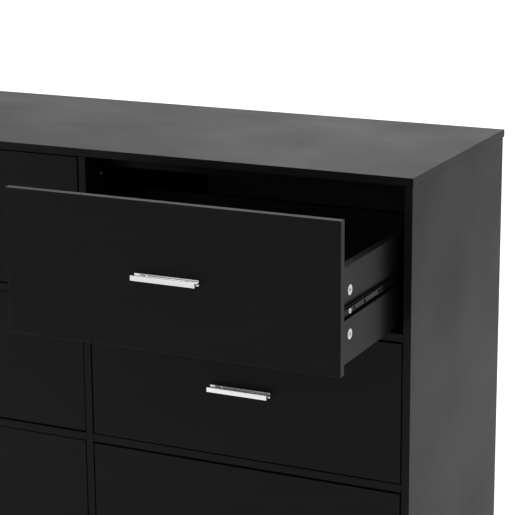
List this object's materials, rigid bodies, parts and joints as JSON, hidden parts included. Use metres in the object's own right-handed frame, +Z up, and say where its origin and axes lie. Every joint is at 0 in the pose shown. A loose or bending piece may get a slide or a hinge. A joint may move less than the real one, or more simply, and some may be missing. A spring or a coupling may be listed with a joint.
{
  "type": "dresser with drawers",
  "caption": "Wide low dresser in black board with a centre divider, two columns of inset drawers on ball-bearing slides and short bright bar pulls.",
  "frame": {"origin": "on the floor under the middle of the carcass, at the underside of the middle foot glide", "axes": "+X along the width to the right seen from the front, +Y to the back, +Z up"},
  "size_m": [1.05, 0.63, 0.736],
  "materials": {
    "black_board": "satin laminate with a faint wood-pore emboss",
    "black_hardboard": "matt lacquered fibreboard",
    "bright_pull": "polished",
    "zinc_fittings": "bright zinc plated",
    "slide_steel": "black electro-coated steel",
    "black_plastic": "moulded"
  },
  "bodies": {
    "carcass": {"top_panel": "black_board", "left_side_panel": "black_board", "right_side_panel": "black_board", "centre_divider": "black_board", "bottom_panels": "black_board", "drawer_rails": "black_board", "top_stretchers": "black_board", "plinth_boards": "black_board", "back_panels": "black_hardboard", "foot_glides": "black_plastic", "slide_outer_members": "slide_steel", "carcass_fasteners": "zinc_fittings"},
    "top_left_drawer": {"top_left_drawer_front": "black_board", "top_left_drawer_sides": "black_board", "top_left_drawer_back": "black_board", "top_left_drawer_bottom": "black_hardboard", "top_left_drawer_pull": "bright_pull", "top_left_drawer_slide_members": "slide_steel", "top_left_drawer_fasteners": "zinc_fittings"},
    "top_left_slide_mids": {"top_left_slide_mid_members": "slide_steel"},
    "middle_left_drawer": {"middle_left_drawer_front": "black_board", "middle_left_drawer_sides": "black_board", "middle_left_drawer_back": "black_board", "middle_left_drawer_bottom": "black_hardboard", "middle_left_drawer_pull": "bright_pull", "middle_left_drawer_slide_members": "slide_steel", "middle_left_drawer_fasteners": "zinc_fittings"},
    "middle_left_slide_mids": {"middle_left_slide_mid_members": "slide_steel"},
    "bottom_left_drawer": {"bottom_left_drawer_front": "black_board", "bottom_left_drawer_sides": "black_board", "bottom_left_drawer_back": "black_board", "bottom_left_drawer_bottom": "black_hardboard", "bottom_left_drawer_pull": "bright_pull", "bottom_left_drawer_slide_members": "slide_steel", "bottom_left_drawer_fasteners": "zinc_fittings"},
    "bottom_left_slide_mids": {"bottom_left_slide_mid_members": "slide_steel"},
    "top_right_drawer": {"top_right_drawer_front": "black_board", "top_right_drawer_sides": "black_board", "top_right_drawer_back": "black_board", "top_right_drawer_bottom": "black_hardboard", "top_right_drawer_pull": "bright_pull", "top_right_drawer_slide_members": "slide_steel", "top_right_drawer_fasteners": "zinc_fittings"},
    "top_right_slide_mids": {"top_right_slide_mid_members": "slide_steel"},
    "middle_right_drawer": {"middle_right_drawer_front": "black_board", "middle_right_drawer_sides": "black_board", "middle_right_drawer_back": "black_board", "middle_right_drawer_bottom": "black_hardboard", "middle_right_drawer_pull": "bright_pull", "middle_right_drawer_slide_members": "slide_steel", "middle_right_drawer_fasteners": "zinc_fittings"},
    "middle_right_slide_mids": {"middle_right_slide_mid_members": "slide_steel"},
    "bottom_right_drawer": {"bottom_right_drawer_front": "black_board", "bottom_right_drawer_sides": "black_board", "bottom_right_drawer_back": "black_board", "bottom_right_drawer_bottom": "black_hardboard", "bottom_right_drawer_pull": "bright_pull", "bottom_right_drawer_slide_members": "slide_steel", "bottom_right_drawer_fasteners": "zinc_fittings"},
    "bottom_right_slide_mids": {"bottom_right_slide_mid_members": "slide_steel"}
  },
  "joints": [
    {"name": "top_left_drawer_slide", "type": "slide", "parent": "carcass", "child": "top_left_drawer", "axis": [0, -1, 0], "range_m": [0, 0.33]},
    {"name": "top_left_slide_mids_travel", "type": "slide", "parent": "carcass", "child": "top_left_slide_mids", "axis": [0, -1, 0], "range_m": [0, 0.165]},
    {"name": "middle_left_drawer_slide", "type": "slide", "parent": "carcass", "child": "middle_left_drawer", "axis": [0, -1, 0], "range_m": [0, 0.33]},
    {"name": "middle_left_slide_mids_travel", "type": "slide", "parent": "carcass", "child": "middle_left_slide_mids", "axis": [0, -1, 0], "range_m": [0, 0.165]},
    {"name": "bottom_left_drawer_slide", "type": "slide", "parent": "carcass", "child": "bottom_left_drawer", "axis": [0, -1, 0], "range_m": [0, 0.33]},
    {"name": "bottom_left_slide_mids_travel", "type": "slide", "parent": "carcass", "child": "bottom_left_slide_mids", "axis": [0, -1, 0], "range_m": [0, 0.165]},
    {"name": "top_right_drawer_slide", "type": "slide", "parent": "carcass", "child": "top_right_drawer", "axis": [0, -1, 0], "range_m": [-0.217, 0.113]},
    {"name": "top_right_slide_mids_travel", "type": "slide", "parent": "carcass", "child": "top_right_slide_mids", "axis": [0, -1, 0], "range_m": [-0.1085, 0.0565]},
    {"name": "middle_right_drawer_slide", "type": "slide", "parent": "carcass", "child": "middle_right_drawer", "axis": [0, -1, 0], "range_m": [0, 0.33]},
    {"name": "middle_right_slide_mids_travel", "type": "slide", "parent": "carcass", "child": "middle_right_slide_mids", "axis": [0, -1, 0], "range_m": [0, 0.165]},
    {"name": "bottom_right_drawer_slide", "type": "slide", "parent": "carcass", "child": "bottom_right_drawer", "axis": [0, -1, 0], "range_m": [0, 0.33]},
    {"name": "bottom_right_slide_mids_travel", "type": "slide", "parent": "carcass", "child": "bottom_right_slide_mids", "axis": [0, -1, 0], "range_m": [0, 0.165]}
  ],
  "couplings": [
    {"joint": "top_left_slide_mids_travel", "follows": "top_left_drawer_slide", "ratio": 0.5},
    {"joint": "middle_left_slide_mids_travel", "follows": "middle_left_drawer_slide", "ratio": 0.5},
    {"joint": "bottom_left_slide_mids_travel", "follows": "bottom_left_drawer_slide", "ratio": 0.5},
    {"joint": "top_right_slide_mids_travel", "follows": "top_right_drawer_slide", "ratio": 0.5},
    {"joint": "middle_right_slide_mids_travel", "follows": "middle_right_drawer_slide", "ratio": 0.5},
    {"joint": "bottom_right_slide_mids_travel", "follows": "bottom_right_drawer_slide", "ratio": 0.5}
  ]
}
